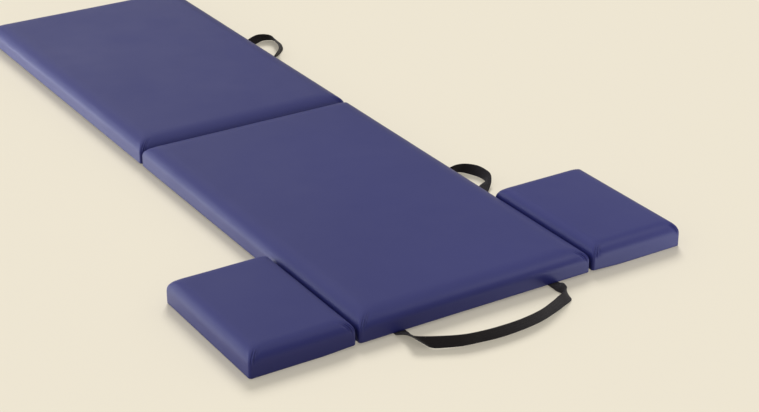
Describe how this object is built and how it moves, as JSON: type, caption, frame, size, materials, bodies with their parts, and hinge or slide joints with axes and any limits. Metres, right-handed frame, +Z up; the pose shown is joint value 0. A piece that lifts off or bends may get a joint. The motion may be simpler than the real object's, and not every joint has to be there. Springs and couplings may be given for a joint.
{
  "type": "folding treatment mat",
  "caption": "Navy folding physiotherapy mat of two long padded panels and two arm-rest wings, on steel hinges, with three black webbing handles",
  "frame": {"origin": "on the floor, under the middle of the whole object's bounding box", "axes": "+X to the right wing, +Y along the long panels away from the wings and the long handle, +Z up out of the lying surface"},
  "size_m": [1.024, 2.0252, 0.0562],
  "materials": {
    "navy_vinyl": "satin",
    "foam": "matte",
    "plywood": "matte",
    "base_cloth": "matte",
    "black_webbing": "matte",
    "zinc_steel": "satin",
    "black_rubber": "matte"
  },
  "bodies": {
    "head_panel": {"head_board": "plywood", "head_foam": "foam", "head_cover": "navy_vinyl", "head_base_cloth": "base_cloth", "head_glide_near_left": "black_rubber", "head_glide_near_right": "black_rubber", "head_glide_fold_left": "black_rubber", "head_glide_fold_right": "black_rubber", "fold_leaf_head": "zinc_steel", "fold_pin": "zinc_steel", "left_leaf_head": "zinc_steel", "left_pin": "zinc_steel", "right_leaf_head": "zinc_steel", "right_pin": "zinc_steel", "front_strap_a_tail": "black_webbing", "front_strap_a_clamp": "zinc_steel", "front_strap_a_screw": "zinc_steel", "front_strap_b_tail": "black_webbing", "front_strap_b_clamp": "zinc_steel", "front_strap_b_screw": "zinc_steel", "head_side_strap_a_tail": "black_webbing", "head_side_strap_a_clamp": "zinc_steel", "head_side_strap_a_screw": "zinc_steel", "head_side_strap_b_tail": "black_webbing", "head_side_strap_b_clamp": "zinc_steel", "head_side_strap_b_screw": "zinc_steel"},
    "foot_panel": {"foot_board": "plywood", "foot_foam": "foam", "foot_cover": "navy_vinyl", "foot_base_cloth": "base_cloth", "foot_glide_fold_left": "black_rubber", "foot_glide_fold_right": "black_rubber", "foot_glide_far_left": "black_rubber", "foot_glide_far_right": "black_rubber", "fold_leaf_foot": "zinc_steel", "foot_side_strap_a_tail": "black_webbing", "foot_side_strap_a_clamp": "zinc_steel", "foot_side_strap_a_screw": "zinc_steel", "foot_side_strap_b_tail": "black_webbing", "foot_side_strap_b_clamp": "zinc_steel", "foot_side_strap_b_screw": "zinc_steel"},
    "left_wing": {"left_wing_board": "plywood", "left_wing_foam": "foam", "left_wing_cover": "navy_vinyl", "left_wing_base_cloth": "base_cloth", "left_wing_glide_near": "black_rubber", "left_wing_glide_far": "black_rubber", "left_leaf_wing": "zinc_steel"},
    "right_wing": {"right_wing_board": "plywood", "right_wing_foam": "foam", "right_wing_cover": "navy_vinyl", "right_wing_base_cloth": "base_cloth", "right_wing_glide_near": "black_rubber", "right_wing_glide_far": "black_rubber", "right_leaf_wing": "zinc_steel"},
    "front_handle": {"front_handle": "black_webbing"},
    "head_side_handle": {"head_side_handle": "black_webbing"},
    "foot_side_handle": {"foot_side_handle": "black_webbing"}
  },
  "joints": [
    {"name": "centre_fold", "type": "hinge", "parent": "head_panel", "child": "foot_panel", "pos_m": [0, 0.0711, 0.00215], "axis": [-1, 0, 0], "range_deg": [0, 170]},
    {"name": "left_wing_fold", "type": "hinge", "parent": "head_panel", "child": "left_wing", "pos_m": [-0.2785, -0.7199, 0.00215], "axis": [0, -1, 0], "range_deg": [0, 175]},
    {"name": "right_wing_fold", "type": "hinge", "parent": "head_panel", "child": "right_wing", "pos_m": [0.2785, -0.7199, 0.00215], "axis": [0, 1, 0], "range_deg": [0, 175]},
    {"name": "front_handle_swing", "type": "hinge", "parent": "head_panel", "child": "front_handle", "pos_m": [0, -0.8959, 0.0029], "axis": [-1, 0, 0], "range_deg": [0, 50]},
    {"name": "head_side_handle_swing", "type": "hinge", "parent": "head_panel", "child": "head_side_handle", "pos_m": [0.2765, -0.4069, 0.0029], "axis": [0, -1, 0], "range_deg": [0, 45]},
    {"name": "foot_side_handle_swing", "type": "hinge", "parent": "foot_panel", "child": "foot_side_handle", "pos_m": [0.2765, 0.5491, 0.0029], "axis": [0, -1, 0], "range_deg": [0, 45]}
  ]
}
